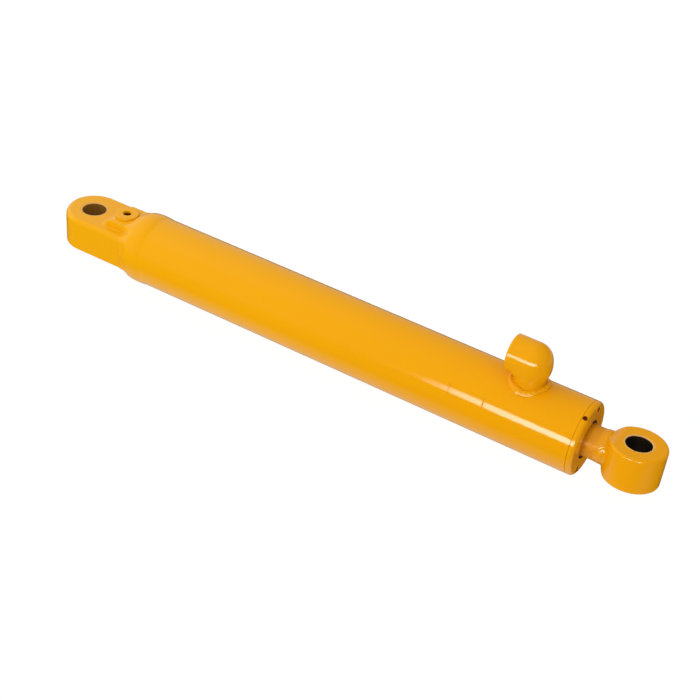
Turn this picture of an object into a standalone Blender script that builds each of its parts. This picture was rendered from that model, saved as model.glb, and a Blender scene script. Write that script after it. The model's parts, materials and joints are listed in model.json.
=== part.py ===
"""Double-acting hydraulic cylinder: forged base lug, welded port elbow, screwed gland, welded rod eye.

Metres, +Z up. Lengths run along X from the base pin's axis (x = 0) to the rod eye, and radii are
measured from the cylinder's own axis. Every piece hangs on one empty, which lifts that layout so
that the barrel lies on the ground plane and the whole object is centred over the origin.
The rod is drawn fully retracted.
"""

import math

import bmesh
import bpy
from mathutils import Matrix, Vector

# Driving dimensions
TUBE_OD = 0.1016
TUBE_BORE = 0.0889
ROD_DIAMETER = 0.04445
PIN_DIAMETER = 0.035
PIN_TO_PIN = 0.8692
STROKE = 0.508
EYE_TURN = math.radians(-4.0)  # the rod eye stands turned this far about the cylinder's axis
GAP = 0.0003  # left between neighbouring pieces
END_GAP = 0.0005  # left at both ends of the stroke

TUBE_R = TUBE_OD / 2
BORE_R = TUBE_BORE / 2
ROD_R = ROD_DIAMETER / 2

# Pin bushes
BUSH_IN_R = PIN_DIAMETER / 2
BUSH_OUT_R = 0.0200
BUSH_CHAMFER = 0.0006
BUSH_SLIT = 0.0010
BUSH_SLIT_ANGLE = math.radians(-86.0)
BUSH_SHORTER = 0.0004  # a bush ends this far short of the lug's two faces together

# Base lug and cap, one forging
LUG_R = 0.0411
LUG_THICK = 0.0508
LUG_EDGE = 0.0045
LUG_INTO_CAP_X = 0.0950
CAP_FACE_X = 0.0780
CAP_FACE_R = 0.0306
CAP_CONE_X = 0.0945  # where the cap's conical back is as wide as the tube
CAP_SHOULDER_X = 0.0980
CAP_JOINT_X = 0.1035
CAP_INNER_X = 0.1180
JOINT_R = 0.0468  # radius at the bottom of the weld groove
BLOCK_X = (0.0345, 0.0900)
BLOCK_HALF_Y = 0.0262
BLOCK_Z = (0.0150, 0.0384)
BLOCK_EDGE = 0.0030
BLOCK_RAMP = math.radians(45.0)  # slope of the block's end on the pin's side
PORT_X = 0.0615
PAD_R = 0.0178
PAD_TOP_Z = 0.0425
PAD_EDGE = 0.0006
PORT_R = 0.0055
PORT_MOUTH_R = 0.0064
PORT_MOUTH_DEPTH = 0.0020
DRILLING_R = 0.0070

# Barrel tube and its weld to the cap
TUBE_PREP_X = 0.1095
TUBE_END_X = 0.7973
THREAD_R = 0.0462
THREAD_START_X = 0.7620
WELD_END_R = 0.0514
WELD_CREST_R = 0.0523
WELD_X = (0.0940, 0.1225)

# Rod-end port elbow
ELBOW_X = 0.7132
ELBOW_AXIS_Z = 0.0821
OUTLET_X = 0.6835
LEG_R = 0.0249
STEM_R = 0.0218
LEG_CHAMFER = 0.0010
PASSAGE_R = 0.0080
OUTLET_BORE_R = 0.0130
OUTLET_BORE_DEPTH = 0.0190
ELBOW_WELD_R = 0.0290
ELBOW_WELD_HIGH = 0.0040

# Gland
NOSE_X = 0.7000
NOSE_R = 0.0340
NOSE_END_X = 0.7350
GLAND_BODY_R = BORE_R - GAP
GLAND_THREAD_R = THREAD_R - GAP
GLAND_BORE_R = ROD_R + 0.000425
GLAND_FACE_X = 0.8051
COLLAR_CHAMFER = 0.0030
STATIC_GROOVE = (0.7450, 0.7525, 0.0404)
GUIDE_GROOVE_INNER = (0.7140, 0.7265, 0.0252)
BUFFER_GROOVE = (0.7385, 0.7455, 0.0284)
SEAL_GROOVE = (0.7565, 0.7665, 0.0286)
GUIDE_GROOVE_OUTER = (0.7755, 0.7880, 0.0252)
WIPER_GROOVE = (0.7943, 0.8015, 0.0279)
WIPER_MOUTH_R = 0.0266
PIN_HOLE_R = 0.0040
PIN_HOLE_CIRCLE_R = 0.0416
PIN_HOLE_DEPTH = 0.0062
PIN_HOLE_ANGLES = (67.0, 247.0)
HOOK_HOLE_R = 0.0026
HOOK_HOLE_X = 0.8007
HOOK_HOLE_DEPTH = 0.0060
HOOK_HOLE_ANGLES = (114.6, 294.6)

# Piston, its rings and the inner end of the rod
PISTON_LENGTH = 0.0445
PISTON_R = 0.0440
PISTON_FRONT_X = NOSE_X - END_GAP - STROKE
PISTON_REAR_X = PISTON_FRONT_X - PISTON_LENGTH
REAR_WEAR_GROOVE = (PISTON_REAR_X + 0.0035, PISTON_REAR_X + 0.0115, 0.0413)
SEAL_RING_GROOVE = (PISTON_REAR_X + 0.0175, PISTON_REAR_X + 0.0275, 0.0385)
FRONT_WEAR_GROOVE = (PISTON_FRONT_X - 0.0115, PISTON_FRONT_X - 0.0035, 0.0413)
SPIGOT_R = 0.015875
PISTON_BORE_R = SPIGOT_R + GAP
BORE_GROOVE = (PISTON_REAR_X + 0.0210, PISTON_REAR_X + 0.0240, 0.0187)
ROD_END_X = CAP_INNER_X + END_GAP
NUT_LENGTH = 0.0250
NUT_ACROSS_FLATS = 0.0476

# Rod eye and its weld
EYE_R = 0.0381
EYE_WIDTH = 0.0510
EYE_EDGE = 0.0012
NECK_R = 0.0232
NECK_INTO_EYE_X = 0.8500
ROD_PREP_X = (0.8220, 0.8265)
NECK_PREP_X = (0.8268, 0.8318)
ROOT_R = 0.0140
EYE_WELD_X = (0.8208, 0.8330)
EYE_WELD_CREST_R = 0.0241

# Facets round a full turn
OUTER_STEPS = 40
GLAND_STEPS = 32
RING_STEPS = 24
PISTON_STEPS = 32

MERGE = 0.00001
SMOOTH_ANGLE = math.radians(35.0)

X_AXIS = Matrix.Rotation(math.radians(90), 4, "Y")  # turns a local Z axis to +X
Z_AXIS = Matrix.Identity(4)


# ---------------------------------------------------------------- scene and materials


def clear_scene():
    """Start from nothing: remove every object that is open."""
    for item in list(bpy.data.objects):
        bpy.data.objects.remove(item, do_unlink=True)


def new_collection(name):
    """A collection linked to the scene."""
    made = bpy.data.collections.new(name)
    bpy.context.scene.collection.children.link(made)
    return made


def new_material(name, colour, roughness, metallic):
    """A Principled material; colour is linear RGB."""
    made = bpy.data.materials.new(name)
    made.use_nodes = True
    shader = made.node_tree.nodes["Principled BSDF"]
    shader.inputs["Base Color"].default_value = (*colour, 1.0)
    shader.inputs["Roughness"].default_value = roughness
    shader.inputs["Metallic"].default_value = metallic
    made.diffuse_color = (*colour, 1.0)
    return made


clear_scene()
PARTS = new_collection("hydraulic_cylinder")
CUTTERS = new_collection("cutters")
PAINT = new_material("yellow_paint", (0.90, 0.40, 0.01), 0.30, 0.0)
CHROME = new_material("hard_chrome", (0.75, 0.76, 0.78), 0.08, 1.0)
STEEL = new_material("machined_steel", (0.45, 0.44, 0.42), 0.35, 1.0)
BUSH_STEEL = new_material("bush_steel", (0.30, 0.22, 0.15), 0.45, 1.0)
NITRILE = new_material("nitrile_rubber", (0.02, 0.02, 0.02), 0.6, 0.0)
URETHANE = new_material("seal_urethane", (0.05, 0.12, 0.30), 0.4, 0.0)
WIPER_RED = new_material("wiper_urethane", (0.12, 0.02, 0.01), 0.45, 0.0)
NYLON = new_material("guide_band_nylon", (0.55, 0.42, 0.20), 0.5, 0.0)


# ---------------------------------------------------------------- modelling tools


def add_object(name, mesh, material=None, collection=PARTS):
    """An object in a collection, with its one material."""
    made = bpy.data.objects.new(name, mesh)
    collection.objects.link(made)
    if material:
        mesh.materials.append(material)
    if collection is CUTTERS:
        made.hide_render = True
        made.display_type = "WIRE"
    return made


def arc(centre_x, centre_r, radius, start, end, count):
    """Points of an arc in an outline, from the start to the end angle in degrees."""
    angles = [math.radians(start + (end - start) * i / count) for i in range(count + 1)]
    return [(centre_x + radius * math.cos(a), centre_r + radius * math.sin(a)) for a in angles]


def turned(name, outline, material=None, steps=OUTER_STEPS, collection=PARTS, axis=X_AXIS):
    """A turned piece. The outline lists (position along the axis, radius) once round the section;
    a solid piece's outline starts and ends on the axis, and a ring's never touches it."""
    pairs = zip(outline, outline[1:] + outline[:1])
    area = sum(r0 * h1 - r1 * h0 for (h0, r0), (h1, r1) in pairs)
    points = outline if area < 0 else outline[::-1]
    solid = points[0][1] == 0.0 and points[-1][1] == 0.0
    count = len(points)
    edges = [(i, (i + 1) % count) for i in range(count - 1 if solid else count)]
    mesh = bpy.data.meshes.new(name)
    mesh.from_pydata([(r, 0.0, h) for h, r in points], edges, [])
    made = add_object(name, mesh, material, collection)
    made.matrix_world = axis
    screw = made.modifiers.new("turn", "SCREW")
    screw.axis = "Z"
    screw.steps = steps
    screw.render_steps = steps
    screw.use_merge_vertices = True
    screw.merge_threshold = MERGE
    return made


def rod_shape(name, radius, start, end, steps=OUTER_STEPS, collection=CUTTERS):
    """A plain round bar between two points."""
    along = Vector(end) - Vector(start)
    mesh = bpy.data.meshes.new(name)
    shape = bmesh.new()
    bmesh.ops.create_cone(
        shape, cap_ends=True, segments=steps, radius1=radius, radius2=radius, depth=along.length
    )
    shape.to_mesh(mesh)
    shape.free()
    made = add_object(name, mesh, None, collection)
    turn = Vector((0, 0, 1)).rotation_difference(along.normalized())
    middle = (Vector(start) + Vector(end)) / 2
    made.matrix_world = Matrix.Translation(middle) @ turn.to_matrix().to_4x4()
    return made


def block_shape(name, low, high, bevel=0.0, collection=CUTTERS):
    """A box between two corners, with its edges rounded if bevel is set."""
    size = Vector(high) - Vector(low)
    mesh = bpy.data.meshes.new(name)
    shape = bmesh.new()
    bmesh.ops.create_cube(shape, size=1.0, matrix=Matrix.Diagonal((*size, 1.0)))
    shape.to_mesh(mesh)
    shape.free()
    made = add_object(name, mesh, None, collection)
    made.location = (Vector(low) + Vector(high)) / 2
    if bevel:
        add_bevel(made, bevel)
    return made


def add_bevel(target, width, segments=2):
    """Round every sharp edge."""
    bevel = target.modifiers.new("edge", "BEVEL")
    bevel.width = width
    bevel.segments = segments
    bevel.limit_method = "ANGLE"
    bevel.angle_limit = math.radians(40)


def boolean(target, tool, operation):
    """Cut target with tool, or join tool to it."""
    change = target.modifiers.new(tool.name, "BOOLEAN")
    change.operation = operation
    change.solver = "EXACT"
    change.object = tool


def cut(target, tool):
    """Take tool's volume out of target."""
    boolean(target, tool, "DIFFERENCE")


def join(target, tool):
    """Add tool's volume to target."""
    boolean(target, tool, "UNION")


def keep_common(target, tool):
    """Keep only the volume that target shares with tool."""
    boolean(target, tool, "INTERSECT")


def ring(name, low_x, high_x, inner_r, outer_r, material, steps=RING_STEPS):
    """A plain ring about the cylinder's axis."""
    outline = [(low_x, outer_r), (high_x, outer_r), (high_x, inner_r), (low_x, inner_r)]
    return turned(name, outline, material, steps)


def o_ring(name, middle_x, middle_r, section_r, material):
    """A ring of round section, drawn with six sides."""
    outline = arc(middle_x, middle_r, section_r, 30, 330, 5)
    return turned(name, outline, material, RING_STEPS)


def grooved(points, grooves, radius):
    """An outline's run at one radius, with each (low x, high x, groove radius) let into it."""
    for low_x, high_x, groove_r in grooves:
        points += [(low_x, radius), (low_x, groove_r), (high_x, groove_r), (high_x, radius)]
    return points


# ---------------------------------------------------------------- base end


def lug_plate():
    """The lug's flat outline: a half round about the pin and two straight flanks into the cap."""
    count = OUTER_STEPS // 2
    outline = [(LUG_INTO_CAP_X, LUG_R)]
    for i in range(count + 1):
        angle = math.radians(90 + 180 * i / count)
        outline.append((LUG_R * math.cos(angle), LUG_R * math.sin(angle)))
    outline.append((LUG_INTO_CAP_X, -LUG_R))
    curve = bpy.data.curves.new("lug_outline", "CURVE")
    curve.dimensions = "2D"
    curve.fill_mode = "BOTH"
    curve.extrude = LUG_THICK / 2
    line = curve.splines.new("POLY")
    line.points.add(len(outline) - 1)
    for point, (x, y) in zip(line.points, outline):
        point.co = (x, y, 0.0, 1.0)
    line.use_cyclic_u = True
    drawn = add_object("lug_outline", curve, None, CUTTERS)
    bpy.context.view_layer.update()
    seen = drawn.evaluated_get(bpy.context.evaluated_depsgraph_get())
    mesh = bpy.data.meshes.new_from_object(seen)
    shape = bmesh.new()
    shape.from_mesh(mesh)
    bmesh.ops.remove_doubles(shape, verts=shape.verts, dist=MERGE)
    shape.to_mesh(mesh)
    shape.free()
    made = add_object("lug_plate", mesh, None, CUTTERS)
    made.matrix_world = drawn.matrix_world
    bpy.data.objects.remove(drawn)
    add_bevel(made, LUG_EDGE)
    return made


def port_block():
    """The block the port's pad stands on, with a ramp up from the lug on the pin's side."""
    low = (BLOCK_X[0], -BLOCK_HALF_Y, BLOCK_Z[0])
    high = (BLOCK_X[1], BLOCK_HALF_Y, BLOCK_Z[1])
    block = block_shape("port_block", low, high, BLOCK_EDGE)
    reach = 0.04
    ramp = block_shape("block_ramp", (-reach, -reach, 0), (reach, reach, reach))
    foot = Matrix.Translation((BLOCK_X[0], 0, LUG_THICK / 2))
    ramp.matrix_world = foot @ Matrix.Rotation(-BLOCK_RAMP, 4, "Y") @ Matrix.Translation(ramp.location)
    cut(block, ramp)
    return block


def base_cap():
    """Forged cap with the pin lug, the port block and its pad, and the drilled oil way."""
    outline = [
        (CAP_FACE_X, 0.0),
        (CAP_FACE_X, CAP_FACE_R),
        (CAP_CONE_X, TUBE_R - 0.0005),
        (CAP_SHOULDER_X, TUBE_R),
        (CAP_JOINT_X, JOINT_R),
        (CAP_JOINT_X, BORE_R - GAP),
        (CAP_INNER_X - 0.001, BORE_R - GAP),
        (CAP_INNER_X, BORE_R - GAP - 0.001),
        (CAP_INNER_X, 0.0),
    ]
    cap = turned("base_cap", outline, PAINT)
    join(cap, lug_plate())
    join(cap, port_block())
    pad = rod_shape("port_pad", PAD_R, (PORT_X, 0, BLOCK_Z[0]), (PORT_X, 0, PAD_TOP_Z), 32)
    add_bevel(pad, PAD_EDGE, 1)
    join(cap, pad)
    half = LUG_THICK
    cut(cap, rod_shape("pin_bore", BUSH_OUT_R + GAP, (0, 0, -half), (0, 0, half)))
    mouth_z = PAD_TOP_Z - PORT_MOUTH_DEPTH
    cut(cap, rod_shape("port_mouth", PORT_MOUTH_R, (PORT_X, 0, mouth_z), (PORT_X, 0, 0.06), 24))
    cut(cap, rod_shape("port_drilling", PORT_R, (PORT_X, 0, 0), (PORT_X, 0, 0.06), 24))
    inner_end = (CAP_INNER_X + 0.01, 0, 0)
    cut(cap, rod_shape("oil_way", DRILLING_R, (PORT_X - PORT_R, 0, 0), inner_end, 24))


def pin_bush(name):
    """A plain bush for the pin, chamfered inside at both ends, standing on its own axis."""
    half = (LUG_THICK - BUSH_SHORTER) / 2
    outline = [
        (-half, BUSH_OUT_R),
        (half, BUSH_OUT_R),
        (half, BUSH_IN_R + BUSH_CHAMFER),
        (half - BUSH_CHAMFER, BUSH_IN_R),
        (BUSH_CHAMFER - half, BUSH_IN_R),
        (-half, BUSH_IN_R + BUSH_CHAMFER),
    ]
    return turned(name, outline, BUSH_STEEL, PISTON_STEPS, axis=Z_AXIS)


# ---------------------------------------------------------------- barrel


def barrel_tube():
    """Honed tube: weld preparation at the base, thread run-out at the gland, rod-end port hole."""
    outline = [
        (CAP_JOINT_X + GAP, BORE_R),
        (CAP_JOINT_X + GAP, JOINT_R),
        (TUBE_PREP_X, TUBE_R),
        (TUBE_END_X, TUBE_R),
        (TUBE_END_X, THREAD_R),
        (THREAD_START_X, THREAD_R),
        (THREAD_START_X - 0.0015, BORE_R),
    ]
    tube = turned("barrel_tube", outline, PAINT)
    top = (ELBOW_X, 0, TUBE_R + 0.01)
    cut(tube, rod_shape("tube_port", PASSAGE_R, (ELBOW_X, 0, BORE_R - 0.01), top, 24))


def base_weld():
    """Bead that fills the groove between cap and tube and stands a little proud of both."""
    low, high = WELD_X
    outline = [
        (low, WELD_END_R),
        (low + 0.0085, WELD_CREST_R),
        (high - 0.0095, WELD_CREST_R),
        (high, WELD_END_R),
        (high, TUBE_R + GAP),
        (TUBE_PREP_X - 0.0002, TUBE_R + GAP),
        (CAP_JOINT_X + GAP / 2, JOINT_R + 0.0006),
        (CAP_SHOULDER_X + 0.0002, TUBE_R + GAP),
        (low, TUBE_R + GAP),
    ]
    turned("base_weld", outline, PAINT)


def elbow_outline():
    """The elbow's leg, from its chamfered outlet face to the ball that closes the bend."""
    outline = [(OUTLET_X, 0.0), (OUTLET_X, LEG_R - LEG_CHAMFER), (OUTLET_X + LEG_CHAMFER, LEG_R)]
    outline += arc(ELBOW_X, 0.0, LEG_R, 90, 0, 6)
    return outline[:-1] + [(ELBOW_X + LEG_R, 0.0)]


def port_elbow():
    """Weld-on elbow that turns the rod-end port towards the base."""
    lift = Matrix.Translation((0, 0, ELBOW_AXIS_Z))
    elbow = turned("port_elbow", elbow_outline(), PAINT, GLAND_STEPS, axis=lift @ X_AXIS)
    foot = BORE_R
    join(elbow, rod_shape("stem", STEM_R, (ELBOW_X, 0, foot), (ELBOW_X, 0, ELBOW_AXIS_Z), GLAND_STEPS))
    over = 0.03
    ends = ((ELBOW_X - over, 0, 0), (ELBOW_X + over, 0, 0))
    cut(elbow, rod_shape("elbow_saddle", TUBE_R + GAP, *ends, 96))
    axis_point = (ELBOW_X, 0, ELBOW_AXIS_Z)
    cut(elbow, rod_shape("elbow_rise", PASSAGE_R, (ELBOW_X, 0, foot), axis_point, 24))
    outside = (OUTLET_X - 0.01, 0, ELBOW_AXIS_Z)
    inner = (ELBOW_X + PASSAGE_R * 0.7, 0, ELBOW_AXIS_Z)
    cut(elbow, rod_shape("elbow_run", PASSAGE_R * 0.97, outside, inner, 24))
    bored = (OUTLET_X + OUTLET_BORE_DEPTH, 0, ELBOW_AXIS_Z)
    cut(elbow, rod_shape("outlet_bore", OUTLET_BORE_R, outside, bored, 24))


def port_elbow_weld():
    """Fillet round the elbow's foot, following the tube's round."""
    foot, head = BORE_R * 0.8, TUBE_R + 0.01
    weld = rod_shape(
        "port_elbow_weld", ELBOW_WELD_R, (ELBOW_X, 0, foot), (ELBOW_X, 0, head), GLAND_STEPS, PARTS
    )
    weld.data.materials.append(PAINT)
    over = 0.04
    ends = ((ELBOW_X - over, 0, 0), (ELBOW_X + over, 0, 0))
    keep_common(weld, rod_shape("weld_crown", TUBE_R + GAP + ELBOW_WELD_HIGH, *ends, 64))
    cut(weld, rod_shape("weld_seat", TUBE_R + GAP, *ends, 96))
    inside = STEM_R + GAP
    cut(weld, rod_shape("weld_inside", inside, (ELBOW_X, 0, 0.02), (ELBOW_X, 0, 0.08), GLAND_STEPS))
    under_leg = ((OUTLET_X - 0.01, 0, ELBOW_AXIS_Z), (ELBOW_X, 0, ELBOW_AXIS_Z))
    cut(weld, rod_shape("weld_under_leg", LEG_R + GAP, *under_leg, GLAND_STEPS))


# ---------------------------------------------------------------- gland and its seals


def gland():
    """Screwed gland: nose that stops the piston, sealed body, thread and spanner collar."""
    body_x, thread_x = NOSE_END_X + 0.0015, THREAD_START_X + 0.0020
    collar_x = TUBE_END_X + GAP
    outline = [(NOSE_X, NOSE_R - 0.001), (NOSE_X + 0.001, NOSE_R), (NOSE_END_X, NOSE_R)]
    outline += [(NOSE_END_X, GLAND_BODY_R - 0.0005), (body_x, GLAND_BODY_R)]
    grooved(outline, [STATIC_GROOVE], GLAND_BODY_R)
    outline += [
        (THREAD_START_X, GLAND_BODY_R),
        (thread_x, GLAND_THREAD_R),
        (collar_x, GLAND_THREAD_R),
        (collar_x, TUBE_R - 0.0004),
        (collar_x + 0.0004, TUBE_R),
        (GLAND_FACE_X - COLLAR_CHAMFER, TUBE_R),
        (GLAND_FACE_X, TUBE_R - COLLAR_CHAMFER),
        (GLAND_FACE_X, WIPER_MOUTH_R),
    ]
    grooves = [GUIDE_GROOVE_INNER, BUFFER_GROOVE, SEAL_GROOVE, GUIDE_GROOVE_OUTER]
    bore = grooved([(NOSE_X, GLAND_BORE_R)], grooves, GLAND_BORE_R)
    low, high, groove_r = WIPER_GROOVE
    bore += [(low, GLAND_BORE_R), (low, groove_r), (high, groove_r), (high, WIPER_MOUTH_R)]
    made = turned("gland", outline + bore[::-1], PAINT, GLAND_STEPS)
    for i, degrees in enumerate(PIN_HOLE_ANGLES):
        y = PIN_HOLE_CIRCLE_R * math.cos(math.radians(degrees))
        z = PIN_HOLE_CIRCLE_R * math.sin(math.radians(degrees))
        ends = ((GLAND_FACE_X - PIN_HOLE_DEPTH, y, z), (GLAND_FACE_X + 0.01, y, z))
        cut(made, rod_shape(f"pin_hole_{i}", PIN_HOLE_R, *ends, 16))
    for i, degrees in enumerate(HOOK_HOLE_ANGLES):
        out = Vector((0, math.cos(math.radians(degrees)), math.sin(math.radians(degrees))))
        place = Vector((HOOK_HOLE_X, 0, 0))
        ends = (place + out * (TUBE_R - HOOK_HOLE_DEPTH), place + out * (TUBE_R + 0.01))
        cut(made, rod_shape(f"hook_hole_{i}", HOOK_HOLE_R, *ends, 16))


def gland_static_seals():
    """O-ring and the backup ring behind it, in the gland's outer groove."""
    low, high, groove_r = STATIC_GROOVE
    backup_end = low + GAP + 0.0018
    ring("gland_backup_ring", low + GAP, backup_end, groove_r + 0.0007, BORE_R - 0.0005, NYLON)
    section_r = (BORE_R - 0.0005 - groove_r - 0.0007) / 2
    o_ring("gland_o_ring", high - GAP - section_r, groove_r + 0.0007 + section_r, section_r, NITRILE)


def band_in_groove(name, groove, inner_r, material):
    """A ring of plain section that fills one of the gland's bore grooves."""
    low, high, groove_r = groove
    return ring(name, low + GAP, high - GAP, inner_r, groove_r - GAP, material)


def gland_rod_seals():
    """Guide bands, buffer seal, lipped rod seal and wiper, all held in the gland."""
    band_r = ROD_R + GAP + 0.0001
    band_in_groove("rod_guide_band_inner", GUIDE_GROOVE_INNER, band_r, NYLON)
    band_in_groove("rod_buffer_seal", BUFFER_GROOVE, band_r, URETHANE)
    band_in_groove("rod_guide_band_outer", GUIDE_GROOVE_OUTER, band_r, NYLON)
    low, high, groove_r = SEAL_GROOVE
    low, high, outer_r = low + GAP, high - GAP, groove_r - GAP
    lip = [(low, outer_r), (high, outer_r), (high, band_r), (low, band_r)]
    notch = [(low, band_r + 0.0018), (low + 0.0035, (band_r + outer_r) / 2), (low, outer_r - 0.0018)]
    turned("rod_seal", lip + notch, URETHANE, RING_STEPS)
    low, high, groove_r = WIPER_GROOVE
    low, high, outer_r = low + GAP, high - GAP, groove_r - GAP
    outline = [
        (low, outer_r),
        (high, outer_r),
        (high, WIPER_MOUTH_R - 0.0012),
        (GLAND_FACE_X - 0.0008, ROD_R + 0.0016),
        (GLAND_FACE_X - 0.0008, band_r),
        (low, band_r),
    ]
    turned("rod_wiper", outline, WIPER_RED, RING_STEPS)


# ---------------------------------------------------------------- piston and rod


def piston():
    """Piston with grooves for two wear rings and the seal, clamped on the rod's spigot."""
    outline = [(PISTON_REAR_X, PISTON_R - 0.001), (PISTON_REAR_X + 0.001, PISTON_R)]
    grooved(outline, [REAR_WEAR_GROOVE, SEAL_RING_GROOVE, FRONT_WEAR_GROOVE], PISTON_R)
    outline += [(PISTON_FRONT_X - 0.001, PISTON_R), (PISTON_FRONT_X, PISTON_R - 0.001)]
    bore = grooved([(PISTON_REAR_X, PISTON_BORE_R)], [BORE_GROOVE], PISTON_BORE_R)
    bore.append((PISTON_FRONT_X, PISTON_BORE_R))
    turned("piston", outline + bore[::-1], STEEL, PISTON_STEPS)
    low, high, groove_r = BORE_GROOVE
    section_r = (groove_r - SPIGOT_R) / 2 - GAP
    o_ring("piston_o_ring", (low + high) / 2, (groove_r + SPIGOT_R) / 2, section_r, NITRILE)


def piston_rings():
    """Rings that run on the tube's bore: two wear rings, the seal and the rubber behind it."""
    outer_r = BORE_R - GAP
    for name, groove in (("rear", REAR_WEAR_GROOVE), ("front", FRONT_WEAR_GROOVE)):
        low, high, groove_r = groove
        ends = (low + GAP, high - GAP)
        ring(f"piston_wear_ring_{name}", *ends, groove_r + 0.00045, outer_r, NYLON)
    low, high, groove_r = SEAL_RING_GROOVE
    seal_r = groove_r + 0.0031
    ring("piston_seal", low + GAP, high - GAP, seal_r, outer_r, URETHANE)
    ends = (low + GAP, high - GAP)
    ring("piston_seal_energiser", *ends, groove_r + 0.0005, seal_r - GAP, NITRILE)


def rod_shaft():
    """Hard chromed rod with a turned-down spigot for the piston and a weld preparation."""
    shoulder_x = PISTON_FRONT_X + GAP
    outline = [
        (ROD_END_X, 0.0),
        (ROD_END_X, SPIGOT_R - 0.0015),
        (ROD_END_X + 0.0015, SPIGOT_R),
        (shoulder_x, SPIGOT_R),
        (shoulder_x, ROD_R - 0.0008),
        (shoulder_x + 0.0008, ROD_R),
        (ROD_PREP_X[0], ROD_R),
        (ROD_PREP_X[1], ROOT_R),
        (ROD_PREP_X[1], 0.0),
    ]
    turned("rod_shaft", outline, CHROME)


def piston_nut():
    """Hexagon nut that clamps the piston against the rod's shoulder."""
    end_x = PISTON_REAR_X - GAP
    start_x = end_x - NUT_LENGTH
    corner_r = NUT_ACROSS_FLATS / 2 / math.cos(math.radians(30))
    nut = rod_shape("piston_nut", corner_r, (start_x, 0, 0), (end_x, 0, 0), 6, PARTS)
    nut.data.materials.append(STEEL)
    bore = ((start_x - 0.01, 0, 0), (end_x + 0.01, 0, 0))
    cut(nut, rod_shape("nut_bore", SPIGOT_R + GAP, *bore, PISTON_STEPS))


def rod_eye():
    """Round eye for the rod pin, with a short neck that takes the weld."""
    half = EYE_WIDTH / 2
    eye = rod_shape("rod_eye", EYE_R, (0, 0, -half), (0, 0, half), OUTER_STEPS, PARTS)
    eye.data.materials.append(PAINT)
    eye.matrix_world = Matrix.Translation((PIN_TO_PIN, 0, 0)) @ Matrix.Rotation(EYE_TURN, 4, "X")
    add_bevel(eye, EYE_EDGE)
    neck = turned(
        "eye_neck",
        [
            (NECK_PREP_X[0], 0.0),
            (NECK_PREP_X[0], ROOT_R),
            (NECK_PREP_X[1], NECK_R),
            (NECK_INTO_EYE_X - 0.002, NECK_R),
            (NECK_INTO_EYE_X - 0.002, 0.0),
        ],
        collection=CUTTERS,
    )
    join(eye, neck)
    bore = rod_shape("eye_bore", BUSH_OUT_R + GAP, (0, 0, -EYE_WIDTH), (0, 0, EYE_WIDTH))
    bore.matrix_world = eye.matrix_world
    cut(eye, bore)
    return eye


def rod_eye_weld(eye):
    """Bead that fills the groove between the rod and the eye's neck, up to the eye's round."""
    low, high = EYE_WELD_X
    outline = [
        (low, ROD_R + 0.0008),
        (low + 0.0027, EYE_WELD_CREST_R - 0.0004),
        (high - 0.0042, EYE_WELD_CREST_R),
        (high, NECK_R + 0.0008),
        (high, NECK_R + 0.0004),
        (NECK_PREP_X[1] - 0.0001, NECK_R + 0.0004),
        (ROD_PREP_X[1] + GAP / 2, ROOT_R + 0.0006),
        (ROD_PREP_X[0] + 0.0002, ROD_R + 0.0004),
        (low, ROD_R + 0.0004),
    ]
    weld = turned("rod_eye_weld", outline, PAINT, GLAND_STEPS)
    ends = ((0, 0, -EYE_WIDTH), (0, 0, EYE_WIDTH))
    clearance = rod_shape("weld_end_at_eye", EYE_R + GAP, *ends, 96)
    clearance.matrix_world = eye.matrix_world
    cut(weld, clearance)


def rod_eye_bush(eye):
    """The eye's wrapped bush, split along its length."""
    bush = pin_bush("rod_eye_bush")
    bush.matrix_world = eye.matrix_world
    half = LUG_THICK
    low = (BUSH_IN_R - 0.002, -BUSH_SLIT / 2, -half)
    slit = block_shape("bush_slit", low, (BUSH_OUT_R + 0.002, BUSH_SLIT / 2, half))
    slit.matrix_world = eye.matrix_world @ Matrix.Rotation(BUSH_SLIT_ANGLE, 4, "Z") @ Matrix.Translation(
        slit.location
    )
    cut(bush, slit)


# ---------------------------------------------------------------- assembly


def settle_meshes():
    """Turn every piece's modifiers into its mesh and shade its round faces smooth."""
    bpy.context.view_layer.update()
    graph = bpy.context.evaluated_depsgraph_get()
    finished = {
        item: bpy.data.meshes.new_from_object(item.evaluated_get(graph)) for item in PARTS.objects
    }
    for item, mesh in finished.items():
        item.modifiers.clear()
        item.data = mesh
        mesh.name = item.name
        mesh.shade_smooth()
        mesh.set_sharp_from_angle(angle=SMOOTH_ANGLE)


def hang_on_frame():
    """Parent each piece, and each cutter, to the empty that carries the layout."""
    middle_x = (PIN_TO_PIN + EYE_R - LUG_R) / 2
    place = bpy.data.objects.new("cylinder_axis", None)
    PARTS.objects.link(place)
    for item in list(PARTS.objects) + list(CUTTERS.objects):
        if item is not place:
            item.parent = place
    place.location = (-middle_x, 0.0, WELD_CREST_R)


base_cap()
pin_bush("base_pin_bush")
barrel_tube()
base_weld()
port_elbow()
port_elbow_weld()
gland()
gland_static_seals()
gland_rod_seals()
piston()
piston_rings()
rod_shaft()
piston_nut()
eye_object = rod_eye()
rod_eye_weld(eye_object)
rod_eye_bush(eye_object)
settle_meshes()
hang_on_frame()
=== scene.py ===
"""The looks of the hydraulic cylinder: fine surfaces, paint, metals, seals and the studio round it.

Metres, +Z up. The shapes below are worked out in the cylinder's own layout: x from the base pin's
axis, and y, z from the cylinder's axis. LAYOUT carries that into the frame, where the barrel lies
on the floor and the object is centred over the origin.
"""

import json
import math

import bmesh
import bpy
import numpy as np
from mathutils import Matrix, Vector

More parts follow.
